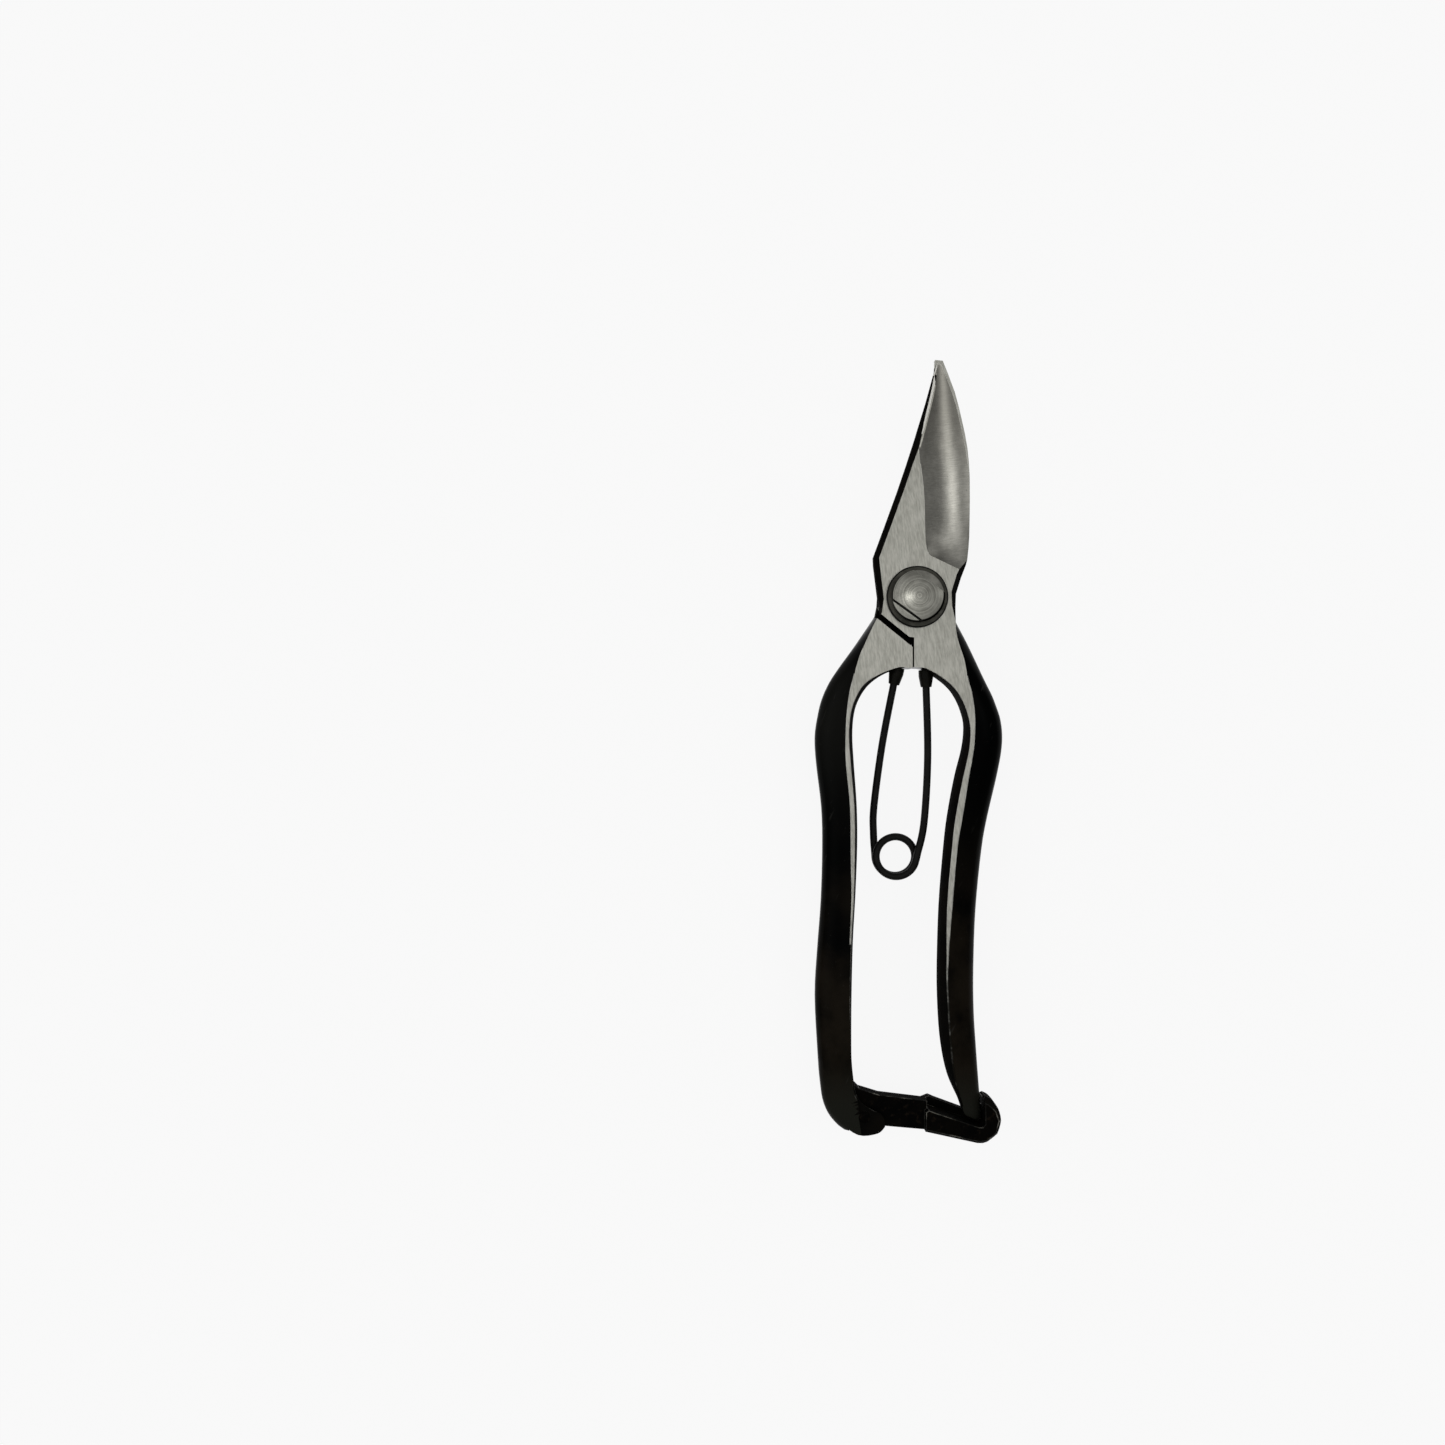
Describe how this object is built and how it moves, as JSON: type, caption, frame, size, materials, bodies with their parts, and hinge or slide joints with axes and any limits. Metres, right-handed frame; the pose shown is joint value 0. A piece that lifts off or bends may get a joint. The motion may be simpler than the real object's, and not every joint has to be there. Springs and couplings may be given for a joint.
{
  "type": "bypass secateurs",
  "caption": "Forged bypass secateurs with a hollow-ground blade, a hairpin spring between the handles and a swinging catch across the tails.",
  "frame": {"origin": "on the pivot axis, on the flat back end of the pivot bolt and its nut", "axes": "+Y towards the blade tips, +Z out of the front face along the pivot axis, +X towards the cutting half's handle"},
  "size_m": [0.0488, 0.2029, 0.0201],
  "materials": {
    "ground_steel": "brushed",
    "lacquered_steel": "gloss",
    "blackened_steel": "satin",
    "spring_steel": "satin"
  },
  "bodies": {
    "cutting_side": {"cutting_half": "ground_steel", "pivot_bolt": "ground_steel", "head_washer": "blackened_steel", "nut_washer": "blackened_steel", "pivot_nut": "blackened_steel", "right_socket": "blackened_steel"},
    "counter_side": {"counter_half": "lacquered_steel", "left_socket": "blackened_steel", "catch_rivet": "blackened_steel"},
    "catch": {"catch_arm": "lacquered_steel"},
    "spring_right": {"spring_coil_leg": "spring_steel"},
    "spring_left": {"spring_left_leg": "spring_steel"}
  },
  "joints": [
    {"name": "handle_pivot", "type": "hinge", "parent": "cutting_side", "child": "counter_side", "pos_m": [0, 0, 0.0104], "axis": [0, 0, 1], "range_deg": [-30, 0]},
    {"name": "catch_swing", "type": "hinge", "parent": "counter_side", "child": "catch", "pos_m": [-0.0134, -0.1338, 0.0104], "axis": [0, 0, 1], "range_deg": [-95, 0]},
    {"name": "spring_seat", "type": "hinge", "parent": "cutting_side", "child": "spring_right", "pos_m": [0.00305, -0.0217, 0.0104], "axis": [0, 0, 1], "range_deg": [-20.5, 0]},
    {"name": "spring_opening", "type": "hinge", "parent": "spring_right", "child": "spring_left", "pos_m": [-0.00495, -0.067, 0.0104], "axis": [0, 0, 1], "range_deg": [0, 14], "deforming": ["spring_coil_leg", "spring_left_leg"]}
  ],
  "couplings": [
    {"joint": "spring_seat", "follows": "handle_pivot", "ratio": 0.68},
    {"joint": "spring_opening", "follows": "handle_pivot", "ratio": -0.455}
  ]
}
